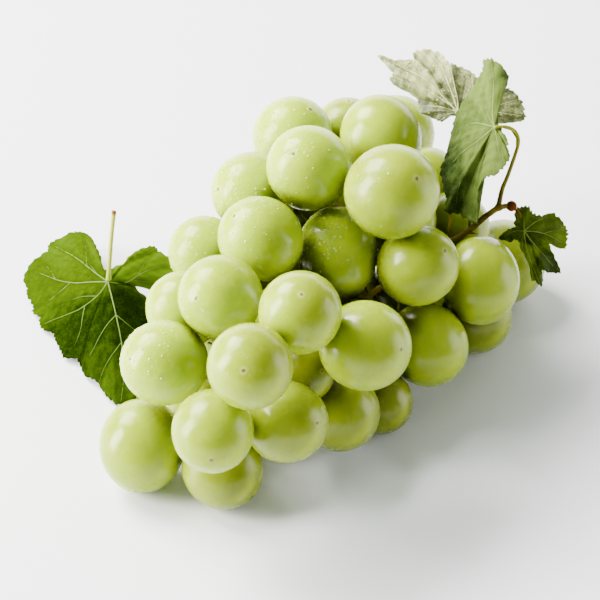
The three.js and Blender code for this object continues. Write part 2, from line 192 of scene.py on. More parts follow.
grape = {
    "around": 52,
    "rings": 34,
    "restingPart": 0.5 * mm,  # the flattened part of a grape's solid, which its sizes aren't taken from
    "tableGap": 0.1 * mm,
    "stemDimple": 0.7 * mm,
    "stemDimpleAngle": 0.16,
    "scarDish": 0.22 * mm,
    "scarDishAngle": 0.17,
    "scarBead": 0.25 * mm,
    "scarBeadAngle": 0.05,
    "farFromScar": 3.0,  # the angle that points of a grape with no dot are given
    "wobble": 0.004,
    "light": (0.38, 0.51, 0.0, 1),
    "deep": (0.13, 0.155, 0.0, 1),
    "bloom": (0.50, 0.60, 0.12, 1),
    "paintedGlow": (0.50, 0.60, 0.0, 1),
    "scarColour": (0.10, 0.07, 0.01, 1),
    "scarHalo": (0.66, 0.70, 0.28, 1),
    "paintedCreviceShade": (0.03, 0.03, 0.0, 1),
    "patchiness": 0.2,  # share of the depth of colour that changes over each skin
    "bloomShare": 0.06,
    "paintedGlowShare": 0.42,
    "paintedCreviceShadeShare": 0.8,
    "shadeGrazing": 0.15,
    "mostShade": 1.6,
    "roughness": (0.2, 0.38),
    "seed": 7,
    # dark dots that aren't at the end of the long axis, under these pixels
    "dots": {"berry_17": (508, 276), "berry_20": (312, 243.5)},
    "noDot": ["berry_09", "berry_10", "berry_14"],
    # how deep the colour of each grape is, from 0 to 1, partly its own colour and partly painted shade on the
    # grapes that lie in the shade of others; the others get one by chance
    "tonesAndPaintedShade": {
        "berry_01": 0.5, "berry_02": 0.0, "berry_03": 0.0, "berry_04": 0.15, "berry_05": 0.0,
        "berry_06": 0.5, "berry_07": 0.4, "berry_08": 0.45, "berry_09": 0.4, "berry_10": 0.85,
        "berry_11": 0.75, "berry_12": 0.4, "berry_13": 0.95, "berry_14": 1.0, "berry_15": 0.45,
        "berry_16": 0.35, "berry_17": 0.3, "berry_18": 0.9, "berry_19": 0.8, "berry_20": 0.0,
        "berry_21": 0.35, "berry_22": 0.0, "berry_23": 0.5, "berry_24": 0.5, "berry_25": 0.0,
        "berry_26": 0.05, "berry_27": 0.1, "berry_28": 0.6, "berry_29": 0.7, "berry_30": 1.0,
        "berry_31": 1.0,
    },
    "chanceTones": (0.3, 0.8),
    # painted light: the light that went through a grape, painted as a pale crescent inside its edge, away
    # from the window
    "paintedCrescent": {"at": 0.80, "wide": 0.10, "turn": -28, "spread": 48},
}


# A CAD node's own points, each once
def pointsOf(node):
    points = np.array([v.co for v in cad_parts[node].data.vertices])
    return np.unique(np.round(points, 6), axis=0)


# The middle, the half sizes and the long axis of a grape, from the points of its solid
def fitGrape(node, stalkPoints):
    points = pointsOf(node)
    free = points[points[:, 2] > grape["restingPart"]]
    system = np.hstack([2 * free, np.ones((len(free), 1))])
    middle = np.linalg.lstsq(system, (free**2).sum(1), rcond=None)[0][:3]
    offsets = free - middle
    axis = np.linalg.eigh(offsets.T @ offsets)[1][:, 2]
    along = offsets @ axis
    squares = np.stack([(offsets**2).sum(1) - along**2, along**2], axis=1)
    across, length = 1 / np.sqrt(np.linalg.lstsq(squares, np.ones(len(free)), rcond=None)[0])
    poles = [middle + axis * length, middle - axis * length]
    reach = [np.linalg.norm(stalkPoints - pole, axis=1).min() for pole in poles]
    if reach[0] < reach[1]:
        axis = -axis
    fit = {"node": node, "middle": middle, "axis": axis, "across": across, "length": length}
    if node in grape["dots"]:
        fit["dot"] = dotDirection(middle, across, grape["dots"][node])
    else:
        fit["dot"] = Vector(axis)
    return fit


# The direction from a grape's middle to the near point of its skin under a pixel
def dotDirection(middle, radius, pixel):
    centre = Vector(middle)
    sight = (seenAt(*pixel, centre.z / mm) - lensPlace).normalized()
    along = (centre - lensPlace).dot(sight)
    foot = lensPlace + sight * along
    depth = math.sqrt(max(0.0, radius**2 - (foot - centre).length_squared))
    return (foot - sight * depth - centre).normalized()


# How much of the sky each point of a grape loses to the grapes round it, which is painted on as shade
def shadeOf(points, fit, fits):
    places = np.array(points)
    normals = places - fit["middle"]
    normals /= np.linalg.norm(normals, axis=1)[:, None]
    lost = np.zeros(len(places))
    for other in fits:
        if other is fit:
            continue
        away = other["middle"] - places
        distance = np.linalg.norm(away, axis=1)
        facing = np.clip((away * normals).sum(1) / distance + grape["shadeGrazing"], 0, None)
        lost += facing * (other["across"] / distance) ** 2
    return np.clip(lost, 0, grape["mostShade"]) / grape["mostShade"]


# How much each point lies in the painted crescent of light, seen along the line of sight
def paintedCrescentOf(points, fit):
    outward = (np.array(points) - fit["middle"]) / fit["across"]
    right, up = outward @ np.array(viewRight), outward @ np.array(viewUp)
    look = grape["paintedCrescent"]
    ring = np.exp(-(((np.hypot(right, up) - look["at"]) / look["wide"]) ** 2))
    turn = np.degrees(np.arctan2(up, right)) - look["turn"]
    return ring * np.exp(-((turn / look["spread"]) ** 2)) * (outward @ np.array(viewForward) < 0)


# A grape's skin: nearly round, with a dimple at its stalk and a scar at its tip. Each point's angle from the
# scar comes with it.
def grapeMesh(fit, rng):
    axis = Vector(fit["axis"])
    side = axis.orthogonal().normalized()
    other = axis.cross(side)
    around, rings = grape["around"], grape["rings"]
    phase, stretch = rng.uniform(0, 2 * math.pi, 4), rng.uniform(0.4, 1, 4)
    points, tips = [], []
    for ring in range(rings + 1):
        polar = math.pi * ring / rings
        span = 1 if ring in (0, rings) else around
        for step in range(span):
            turn = 2 * math.pi * step / around
            wave = stretch[0] * math.cos(2 * turn + phase[0]) + stretch[1] * math.cos(3 * turn + phase[1])
            wave = 1 + grape["wobble"] * math.sin(polar) * (wave + math.cos(2 * polar + phase[2]))
            dent = grape["stemDimple"] * math.exp(-((math.pi - polar) / grape["stemDimpleAngle"]) ** 2)
            out = (side * math.cos(turn) + other * math.sin(turn)) * math.sin(polar)
            point = out * fit["across"] * wave + axis * math.cos(polar) * fit["length"]
            tip = point.angle(fit["dot"])
            dent += grape["scarDish"] * math.exp(-((tip / grape["scarDishAngle"]) ** 2))
            dent -= grape["scarBead"] * math.exp(-((tip / grape["scarBeadAngle"]) ** 2))
            point *= 1 - dent / point.length
            point += Vector(fit["middle"])
            point.z = max(point.z, grape["tableGap"])
            points.append(point)
            tips.append(grape["farFromScar"] if fit["node"] in grape["noDot"] else tip)
    faces = []
    last = len(points) - 1
    lowest = last - around
    for step in range(around):
        after = (step + 1) % around
        faces.append((0, 1 + step, 1 + after))
        faces.append((last, lowest + after, lowest + step))
        for ring in range(1, rings - 1):
            here = 1 + (ring - 1) * around
            below = here + around
            faces.append((here + step, below + step, below + after, here + after))
    return points, faces, tips


def grapeMaterial():
    material, tree, shader = startMaterial("grapeSkin")
    broad = remap(tree, noiseOf(tree, 55, 2), 0.35, 0.65)
    # The tone mixes each grape's own depth of colour with painted shade on the grapes that lie in the shade
    # of others
    tone = attributeOf(tree, "tone")
    patches = calculate(tree, "MULTIPLY", broad, grape["patchiness"])
    even = calculate(tree, "MULTIPLY", tone, 1 - grape["patchiness"])
    body = mixColours(tree, calculate(tree, "ADD", patches, even), grape["light"], grape["deep"])
    dust = remap(tree, noiseOf(tree, 240, 5, 0.62), 0.42, 0.72)
    bloom = calculate(tree, "MULTIPLY", dust, grape["bloomShare"])
    dusted = mixColours(tree, bloom, body, grape["bloom"])
    tip = attributeOf(tree, "tip")
    # Painted shade: the skin is darkened where the grapes round it take away the sky
    paintedShadeMask = remap(tree, attributeOf(tree, "shade"), 0.5, 1.1, 0.0, grape["paintedCreviceShadeShare"])
    shaded = mixColours(tree, paintedShadeMask, dusted, grape["paintedCreviceShade"])
    # Painted light: a pale crescent where light that went through the grape would show
    paintedCrescent = calculate(tree, "MULTIPLY", attributeOf(tree, "paintedGlow"), grape["paintedGlowShare"])
    withPaintedGlow = mixColours(tree, paintedCrescent, shaded, grape["paintedGlow"])
    halo = remap(tree, tip, 0.05, 0.13, 0.3, 0.0)
    haloed = mixColours(tree, halo, withPaintedGlow, grape["scarHalo"])
    ragged = calculate(tree, "ADD", tip, remap(tree, noiseOf(tree, 1800, 2), 0.3, 0.7, -0.012, 0.012))
    scar = remap(tree, ragged, 0.032, 0.052, 1.0, 0.0)
    tree.links.new(mixColours(tree, scar, haloed, grape["scarColour"]), shader.inputs["Base Color"])
    rough = remap(tree, dust, 0, 1, *grape["roughness"], smooth=False)
    dry = calculate(tree, "MULTIPLY", scar, 0.4)
    tree.links.new(calculate(tree, "ADD", rough, dry), shader.inputs["Roughness"])
    addBump(tree, shader, noiseOf(tree, 1500, 3), 0.06, 0.1 * mm)
    setShader(shader, subsurface=0.85, subsurfaceRadius=(0.9, 1.0, 0.1), subsurfaceScale=7 * mm, ior=1.42)
    setShader(shader, specularTint=(1.0, 0.98, 0.7, 1))
    return material


def makeGrapes():
    stalkPoints = pointsOf("stalk")
    material = grapeMaterial()
    rng = np.random.default_rng(grape["seed"])
    nodes = sorted(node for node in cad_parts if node.startswith("berry_"))
    fits = [fitGrape(node, stalkPoints) for node in nodes]
    pieces = []
    for fit in fits:
        points, faces, tips = grapeMesh(fit, rng)
        piece = makeObject(fit["node"].replace("berry", "grape"), points, faces)
        setValues(piece, "tip", tips)
        byChance = rng.uniform(*grape["chanceTones"])
        setValues(piece, "tone", [grape["tonesAndPaintedShade"].get(fit["node"], byChance)] * len(points))
        setValues(piece, "paintedGlow", paintedCrescentOf(points, fit))
        setValues(piece, "shade", shadeOf(points, fit, fits))
        finishPiece(piece, material, "grape_skin", fit["node"])
        pieces.append(piece)
    print("grapes made:", len(pieces))
    return fits, pieces


# Stalk and leaf stalks

stalkLook = {
    "voxel": 0.28 * mm,
    "smoothing": 2,
    "green": (0.22, 0.19, 0.002, 1),
    "brown": (0.050, 0.034, 0.001, 1),
    "red": (0.11, 0.028, 0.001, 1),
    "woodyAt": [(462, 236, 53), (482, 229, 57.5), (451, 242, 51)],
    "woodyReach": 10 * mm,
    "knobAt": (511, 206, 61.5),
    "knobReach": 4.5 * mm,
}


def stalkMaterial():
    material, tree, shader = startMaterial("stalkBark")
    streak = remap(tree, noiseOf(tree, 420, 5, 0.6), 0.35, 0.68)
    woody = attributeOf(tree, "woody")
    brownness = calculate(tree, "ADD", calculate(tree, "MULTIPLY", streak, 0.35), woody)
    brownness = calculate(tree, "MINIMUM", brownness, 1.0)
    bark = mixColours(tree, brownness, stalkLook["green"], stalkLook["brown"])
    knob = mixColours(tree, attributeOf(tree, "knob"), bark, stalkLook["red"])
    speck = remap(tree, noiseOf(tree, 1500, 2), 0.62, 0.7)
    spotted = mixColours(tree, calculate(tree, "MULTIPLY", speck, 0.5), knob, stalkLook["brown"])
    tree.links.new(spotted, shader.inputs["Base Color"])
    tree.links.new(remap(tree, streak, 0, 1, 0.42, 0.7), shader.inputs["Roughness"])
    addBump(tree, shader, noiseOf(tree, 1200, 5, 0.65), 0.5, 0.25 * mm)
    setShader(shader, subsurface=0.1, subsurfaceRadius=(0.6, 0.5, 0.1), subsurfaceScale=1.5 * mm)
    setShader(shader, specular=0.04)
    return material


# The stalk's own solid with its joins rounded
def makeStalk():
    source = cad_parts["stalk"]
    copy = bpy.data.objects.new("stalkCopy", source.data.copy())
    bpy.context.scene.collection.objects.link(copy)
    weld = copy.modifiers.new("weld", "WELD")
    weld.merge_threshold = 0.01 * mm
    remesh = copy.modifiers.new("remesh", "REMESH")
    remesh.mode = "VOXEL"
    remesh.voxel_size = stalkLook["voxel"]
    smooth = copy.modifiers.new("smooth", "SMOOTH")
    smooth.iterations = stalkLook["smoothing"]
    smooth.factor = 0.5
    graph = bpy.context.evaluated_depsgraph_get()
    mesh = bpy.data.meshes.new_from_object(copy.evaluated_get(graph))
    bpy.data.objects.remove(copy)
    mesh.name = "stalk_bark"
    piece = placeMesh(mesh)
    places = np.array([v.co for v in mesh.vertices])
    woody = np.zeros(len(places))
    for spot in stalkLook["woodyAt"]:
        away = np.linalg.norm(places - np.array(seenAt(*spot)), axis=1)
        woody = np.maximum(woody, np.clip(1.2 - away / stalkLook["woodyReach"], 0, 1))
    away = np.linalg.norm(places - np.array(seenAt(*stalkLook["knobAt"])), axis=1)
    setValues(piece, "woody", woody)
    setValues(piece, "knob", np.clip(1.6 - away / stalkLook["knobReach"], 0, 1))
    finishPiece(piece, stalkMaterial(), "stalk", "stalk")
    print("stalk made:", len(mesh.polygons), "faces")


# Smooth skins over the two leaf stalks that show, the first of which goes on to its blade

shootStalks = {
    "green": {
        "route": [(498, 209, 61.8), (502, 190, 66), (508, 175, 71), (515, 155, 79), (518.5, 142, 85),
                  (516, 132.5, 89), (509, 127.5, 91.5), (502, 126.5, 92.3), (494.5, 127.5, 92.6)],
        "radii": (0.98, 0.80, 0.72, 0.66, 0.62, 0.60, 0.58, 0.56, 0.5),
        "fresh": 1.0,
    },
    "small": {
        "route": [(497, 208, 62), (503, 206.5, 61.9), (509, 206, 61.5), (515, 207.5, 60.3)],
        "radii": (1.0, 0.95, 0.9, 0.6),
        "fresh": 0.25,
    },
    "sides": 14,
    "perPoint": 10,
    "fresh": (0.30, 0.30, 0.012, 1),
    "base": (0.10, 0.075, 0.002, 1),
}


def makeShootStalks():
    points, faces, freshness = [], [], []
    for stalk in (shootStalks["green"], shootStalks["small"]):
        route = [np.array(seenAt(*point)) for point in stalk["route"]]
        line = [Vector(p) for p in smoothLine(route, shootStalks["perPoint"])]
        radii = np.interp(np.linspace(0, 1, len(line)), np.linspace(0, 1, len(route)), stalk["radii"]) * mm
        tubePoints, tubeFaces = tubeMesh(line, radii, shootStalks["sides"])
        faces += [tuple(len(points) + k for k in face) for face in tubeFaces]
        points += tubePoints
        along = np.linspace(0, stalk["fresh"], len(line))
        freshness += list(np.repeat(along, shootStalks["sides"]))
    piece = makeObject("stalk_leaf_stalks", points, faces)
    setValues(piece, "share", freshness)
    material, tree, shader = startMaterial("leafStalkSkin")
    fresh = remap(tree, attributeOf(tree, "share"), 0.0, 0.75)
    body = mixColours(tree, fresh, shootStalks["base"], shootStalks["fresh"])
    streak = remap(tree, noiseOf(tree, 900, 4), 0.45, 0.75, 0, 0.5)
    tree.links.new(mixColours(tree, streak, body, shootStalks["base"]), shader.inputs["Base Color"])
    addBump(tree, shader, noiseOf(tree, 1100, 4), 0.3, 0.15 * mm)
    setShader(shader, roughness=0.5, specular=0.15)
    finishPiece(piece, material, "stalk")
    print("leaf stalks made")


# Leaves: the junction with the leaf stalk and points round the edge, both as pixel, pixel and height in
# millimetres, and the ways of the veins, as pixels. Patches are painted light and shade: the middle and
# the reach of a patch in pixels, and how lit the blade is painted there.

leftLeaf = {
    "name": "leaf_left_blade",
    "streaked": 0.08,
    "mottle": 0.12,
    "shine": 0.0,
    "junction": (108, 282, 18),
    "rim": [
        (101, 272, 18), (94, 257, 16), (93, 245, 14), (90, 237, 12), (82.5, 232.5, 10), (74.5, 233, 8),
        (61, 239, 7), (49, 244, 5), (48, 252, 5), (33, 261, 3), (24, 278, 2), (28, 289, 2), (28, 296, 1.5),
        (33, 305, 1.5), (33, 312, 1.5), (40, 318, 2), (40, 326, 1.5), (46, 331, 1.5), (54.5, 334, 2.5),
        (57, 342, 1.5), (61.5, 351, 2), (65, 358, 1.5), (77, 359, 3), (81, 367, 1.5), (86, 377, 1.5),
        (94, 379, 3), (102, 389, 2), (108, 397, 1.5), (118, 405, 1), (137, 398, 2), (149, 376, 3),
        (154, 345, 5), (150, 306, 8), (132, 284, 13), (158, 291, 8), (180, 280, 6), (174, 262, 8),
        (158, 252, 10), (153, 247, 11), (141, 250, 14), (126, 264, 17),
    ],
    "veins": [
        {"width": 1.0, "route": [(108, 282), (94, 272), (77, 258.5), (62, 250), (50, 244)]},
        {"width": 0.5, "route": [(87, 266.5), (86, 254), (85, 243), (84, 236)]},
        {"width": 0.45, "route": [(98, 275), (89, 262), (88, 250)]},
        {"width": 1.0,
         "route": [(108, 282), (92, 282), (76, 283), (61, 281), (48, 276.5), (36, 272), (27, 271)]},
        {"width": 0.6, "route": [(70, 283), (60, 292), (50, 300), (42, 304), (34, 308)]},
        {"width": 0.45, "route": [(56, 280), (50, 270), (42, 262), (38, 260)]},
        {"width": 1.0,
         "route": [(108, 282), (101, 292), (94, 299), (86, 305), (78, 310), (66, 315), (53, 320), (44, 324)]},
        {"width": 0.6, "route": [(85, 306), (82.5, 317), (81, 328), (77, 340), (70, 352)]},
        {"width": 0.45, "route": [(97, 296), (80, 297), (66, 303), (54, 310)]},
        {"width": 1.0,
         "route": [(108, 282), (112, 298), (116, 315), (120, 334), (123, 353), (124, 375), (121, 402)]},
        {"width": 0.65, "route": [(116, 315), (107, 325), (100, 336), (94, 348), (86, 362), (84, 373)]},
        {"width": 0.6, "route": [(116, 315), (126, 323), (136, 331), (150, 340)]},
        {"width": 0.55, "route": [(121, 343), (110, 358), (103, 371), (99, 383)]},
        {"width": 0.5, "route": [(123.5, 362), (134, 372), (144, 381)]},
        {"width": 0.9, "route": [(108, 282), (118, 283.5), (128, 282), (141, 274), (152, 269), (166, 265)]},
        {"width": 0.5, "route": [(130, 281), (145, 281.5), (158, 285)]},
        {"width": 0.45, "route": [(138, 275.5), (144, 264), (151, 255)]},
    ],
    "light": (0.060, 0.110, 0.003, 1),
    "dark": (0.002, 0.008, 0.0, 1),
    "vein": (0.075, 0.12, 0.004, 1),
    "patches": [
        ((70, 250), 34, 0.5), ((45, 285), 34, 0.34), ((85, 280), 26, 0.36), ((60, 312), 16, 0.22),
        ((95, 315), 24, 0.0), ((75, 335), 24, 0.0), ((125, 305), 20, 0.0), ((95, 360), 24, 0.1),
        ((115, 385), 22, 0.28), ((135, 345), 24, 0.08), ((150, 266), 28, 1.3), ((118, 330), 18, 0.0),
    ],
    "roughness": (0.5, 0.65),
}
greenLeaf = {
    "name": "leaf_green_blade",
    "streaked": 0.25,
    "mottle": 0.25,
    "shine": 0.03,
    "junction": (494.5, 127, 92),
    "rim": [
        (496, 115, 93), (499, 98, 96), (504, 87, 98), (507, 75.5, 100), (499, 64, 102), (490.5, 59, 102),
        (484, 61, 100), (485, 66, 99), (481, 76, 96), (472, 91, 91), (461, 107, 85), (453, 126, 79),
        (450, 144.5, 75), (445, 160.5, 71), (441, 169, 69), (444, 185, 67), (447, 199, 64), (446, 212, 61),
        (460, 214, 60), (472, 222, 60), (478, 222, 62), (477, 194, 71), (482.5, 182, 76), (486.5, 177, 79),
        (496, 175, 82), (504, 167, 85), (509, 159, 87), (507, 150, 88), (508, 143, 90), (503, 134, 91),
    ],
    "veins": [
        {"width": 0.8, "route": [(494.5, 127), (492.5, 115), (493, 100), (493.5, 85), (492, 64)]},
        {"width": 0.6, "route": [(494.5, 127), (489, 117), (485.5, 107), (483, 95)]},
        {"width": 0.8, "route": [(494.5, 127), (485, 124.5), (475, 123), (465, 126), (455, 130)]},
        {"width": 0.8, "route": [(494.5, 127), (484, 136), (475, 143), (465, 150), (455, 160), (447, 170)]},
        {"width": 0.7, "route": [(494.5, 127), (489, 140), (484, 155), (478, 172), (474, 192), (474, 215)]},
        {"width": 0.5, "route": [(494.5, 127), (497, 140), (499, 152), (502, 165)]},
        {"width": 0.35, "route": [(486, 124.8), (478, 114), (470, 104)]},
        {"width": 0.35, "route": [(478, 141), (474, 155), (465, 172), (458, 190), (456, 208)]},
    ],
    "light": (0.085, 0.125, 0.02, 1),
    "dark": (0.004, 0.013, 0.0, 1),
    "vein": (0.16, 0.21, 0.045, 1),
    "patches": [
        ((492, 75), 22, 0.95), ((490, 105), 20, 1.0), ((470, 115), 18, 0.65), ((462, 140), 14, 0.55),
        ((480, 130), 14, 0.8), ((497, 150), 20, 1.0), ((485, 160), 18, 1.0), ((474, 165), 13, 1.0),
        ((452, 165), 16, 0.1), ((450, 185), 18, 0.06), ((462, 190), 16, 0.35), ((458, 205), 14, 0.1),
        ((471, 192), 12, 1.0), ((505, 76), 7, 0.0), ((456, 152), 8, 0.25), ((470, 212), 10, 0.6),
    ],
    "roughness": (0.55, 0.7),
}
paleLeaf = {
    "name": "leaf_pale_blade",
    "streaked": 0.55,
    "mottle": 0.6,
    "shine": 0.3,
    "junction": (458, 113, 75),
    "rim": [
        (449, 115, 74), (441, 121, 72), (430, 117, 72), (420, 112, 73), (417, 100, 75), (397, 87, 79),
        (389, 79, 81), (393, 73.5, 82), (377, 55, 85), (393, 60, 86), (413, 59, 88), (413, 52, 89),
        (426, 49, 90), (440, 53, 90), (449, 63, 89), (457, 65, 88), (472, 72, 86), (480, 80, 84),
        (505, 87, 81), (515, 92, 79), (523, 104, 76), (525, 118, 73), (519, 122, 72), (497, 124, 71),
        (475, 119, 73),
    ],
    "veins": [
        {"width": 0.8, "route": [(458, 112), (446, 108), (433, 106), (422, 106)]},
        {"width": 0.9, "route": [(458, 112), (447, 101), (435, 88), (420, 76), (400, 66), (383, 57)]},
        {"width": 0.9, "route": [(458, 112), (453, 96), (447, 80), (440, 64), (427, 51)]},
        {"width": 1.0, "route": [(458, 112), (457.5, 100), (455, 88), (452, 74), (451, 67)]},
        {"width": 0.7, "route": [(458, 112), (468, 98), (473, 84), (471, 74)]},
        {"width": 0.6, "route": [(458, 112), (480, 110), (502, 104), (520, 99)]},
        {"width": 0.5, "route": [(480, 110), (502, 113), (522, 116)]},
        {"width": 0.6, "route": [(450, 105), (437, 96), (424, 89), (405, 83), (391, 79)]},
        {"width": 0.4, "route": [(441, 94), (432, 78), (424, 62), (416, 55)]},
    ],
    "light": (0.40, 0.43, 0.16, 1),
    "dark": (0.05, 0.065, 0.008, 1),
    "vein": (0.55, 0.57, 0.24, 1),
    "patches": [
        ((425, 75), 22, 0.85), ((398, 66), 14, 0.4), ((436, 62), 16, 0.75), ((446, 92), 10, 0.2),
        ((430, 92), 10, 1.0), ((403, 84), 14, 0.35), ((430, 106), 12, 0.0), ((441, 114), 8, 0.0),
        ((463, 92), 10, 0.35), ((468, 75), 12, 0.45), ((510, 108), 16, 0.15), ((512, 93), 8, 0.0),
    ],
    "roughness": (0.2, 0.45),
}
smallLeaf = {
    "name": "leaf_small_blade",
    "streaked": 0.2,
    "mottle": 0.3,
    "shine": 0.04,
    "junction": (523, 231, 54),
    "rim": [
        (516, 211, 56), (515, 226, 54), (507, 230, 51), (499, 239, 47), (507, 245, 47), (514, 239, 50),
        (520.5, 243, 50), (520, 260, 46), (520.5, 272, 42), (526, 273, 42), (529, 280, 40), (535, 281, 39),
        (542, 287, 37), (542, 278, 39), (540, 262, 44), (544.5, 271, 42), (552, 273, 40), (560, 272, 39),
        (556, 260, 43), (549, 244, 49), (557, 248, 47), (565, 248, 45), (567, 237, 48), (567, 229, 50),
        (561, 221, 53), (552, 213, 56), (542, 216, 57), (533, 214, 58), (528, 206.5, 60), (520, 207, 59),
    ],
    "veins": [
        {"width": 0.7, "route": [(524, 231), (516, 231), (509, 234), (503, 239)]},
        {"width": 0.7, "route": [(524, 231), (526, 246), (531, 262), (540, 284)]},
        {"width": 0.8, "route": [(524, 231), (533, 243), (543, 254), (553, 266)]},
        {"width": 0.8, "route": [(524, 231), (538, 232), (550, 236), (562, 243)]},
        {"width": 0.7, "route": [(524, 231), (531, 225), (537, 221), (548, 217)]},
        {"width": 0.6, "route": [(524, 231), (524, 220), (524, 210)]},
        {"width": 0.35, "route": [(527, 250), (523, 258), (521.5, 268)]},
        {"width": 0.35, "route": [(544, 233.5), (553, 231), (564, 231)]},
    ],
    "light": (0.11, 0.17, 0.0, 1),
    "dark": (0.011, 0.027, 0.0, 1),
    "vein": (0.19, 0.26, 0.02, 1),
    "patches": [
        ((506, 236), 10, 0.1), ((516, 232), 8, 0.5), ((523, 214), 10, 0.8), ((537, 222), 12, 0.45),
        ((552, 222), 10, 0.5), ((562, 236), 8, 1.0), ((552, 240), 8, 0.65), ((532, 238), 8, 0.1),
        ((526, 254), 10, 1.0), ((535, 272), 10, 0.4), ((548, 262), 10, 0.1),
    ],
    "roughness": (0.22, 0.4),
}
blade = {
    "thickness": 0.36 * mm,
    "perPoint": 8,  # spokes for each point of the edge
    "rings": 40,
    "dome": 0.05,
    "clearance": 2.4 * mm,
    "drapings": 8,
    "lowest": 0.45 * mm,
    "roundness": 0.65,  # of the edge, from straight lines to curves
    "tooth": 1.3 * mm,
    "perTooth": 4,  # spokes
    "pucker": 0.55 * mm,  # how far the blade swells between its veins
    "puckerReach": 3.2 * mm,
    "crumple": 0.25 * mm,
    "waves": ((900.0, 300.0, 500.0), (-400.0, 1100.0, 300.0)),
    "veinWidth": 0.62 * mm,
    "veinSides": 6,
    "veinGap": 0.02 * mm,  # least height of a vein over the table
    "netShare": 0.14,
    "paintedFurrowShadeShare": 0.25,
    "streaks": (7, 19, 43, 71),  # how many go round the blade
    "seed": 5,
}


# Lifts points of a blade off any grape that they would enter
def drape(points, fits):
    for _ in range(blade["drapings"]):
        for fit in fits:
            away = points - fit["middle"]
            distance = np.linalg.norm(away, axis=1)
            lack = fit["length"] + blade["clearance"] - distance
            inside = lack > 0
            points[inside] += away[inside] * (lack[inside] / distance[inside])[:, None]
    points[:, 2] = np.maximum(points[:, 2], blade["lowest"])
    return points


# A rounded way through places, with so many steps from each to the next
def smoothLine(places, perPoint, closed=False):
    count = len(places)
    line = []
    for i in range(count if closed else count - 1):
        if closed:
            before, here, after, beyond = (places[(i + k) % count] for k in (-1, 0, 1, 2))
        else:
            here, after = places[i], places[i + 1]
            before = places[i - 1] if i else 2 * here - after
            beyond = places[i + 2] if i + 2 < count else 2 * after - here
        for step in range(perPoint):
            t = step / perPoint
            bend = (2 * before - 5 * here + 4 * after - beyond) * t**2
            twist = (3 * here - before - 3 * after + beyond) * t**3
            line.append(0.5 * (2 * here + (after - before) * t + (bend + twist)))
    if not closed:
        line.append(places[-1])
    return line


# The edge: a way between straight and rounded from point to point, with small teeth
def edgeLine(rim, heart, rng):
    places = [np.array(seenAt(*point)) for point in rim]
    perPoint = blade["perPoint"]
    curved = np.array(smoothLine(places, perPoint, closed=True))
    straight = np.array([here + (after - here) * step / perPoint
                         for here, after in zip(places, places[1:] + places[:1])
                         for step in range(perPoint)])
    line = (1 - blade["roundness"]) * straight + blade["roundness"] * curved
    outward = line - heart
    outward /= np.linalg.norm(outward, axis=1)[:, None]
    perTooth = blade["perTooth"]
    saw = np.array([(i % perTooth) / (perTooth - 1) - 0.5 for i in range(len(line))])
    size = np.repeat(rng.uniform(0.2, 1, len(line) // perTooth + 1), perTooth)[: len(line)]
    return line + outward * (saw * (blade["tooth"] * size))[:, None]


def gridNormals(points, faces):
    normals = np.zeros_like(points)
    triangles = np.array([(f[0], f[1], f[2]) for f in faces])
    first, second, third = (points[triangles[:, corner]] for corner in range(3))
    across = np.cross(second - first, third - first)
    for corner in range(3):
        np.add.at(normals, triangles[:, corner], across)
    return normals / np.maximum(np.linalg.norm(normals, axis=1), 1e-12)[:, None]


# Distance of each point from the nearest vein, in the plane of the picture, and the painted light and shade
# there
def pictureValues(leaf, points):
    away = points - np.array(lensPlace)
    depth = away @ np.array(viewForward)
    offsets = np.stack([away @ np.array(viewRight), -(away @ np.array(viewUp))], axis=1)
    pixels = viewing["frameCentre"] + offsets * (viewing["focalPixels"] / depth)[:, None]
    nearest = np.full(len(points), 1e3)
    for vein in leaf["veins"]:
        line = np.array(smoothLine([np.array(p, dtype=float) for p in vein["route"]], 6))
        for start, end in zip(line[:-1], line[1:]):
            step = end - start
            t = np.clip(((pixels - start) @ step) / (step @ step), 0, 1)
            nearest = np.minimum(nearest, np.linalg.norm(pixels - start - t[:, None] * step, axis=1))
    weights, lightness = np.full(len(points), 1e-6), np.full(len(points), 0.4e-6)
    for middle, reach, value in leaf["patches"]:
        weight = np.exp(-((np.linalg.norm(pixels - np.array(middle), axis=1) / reach) ** 2) * 3)
        weights += weight
        lightness += weight * value
    return nearest / viewing["focalPixels"] * depth, lightness / weights


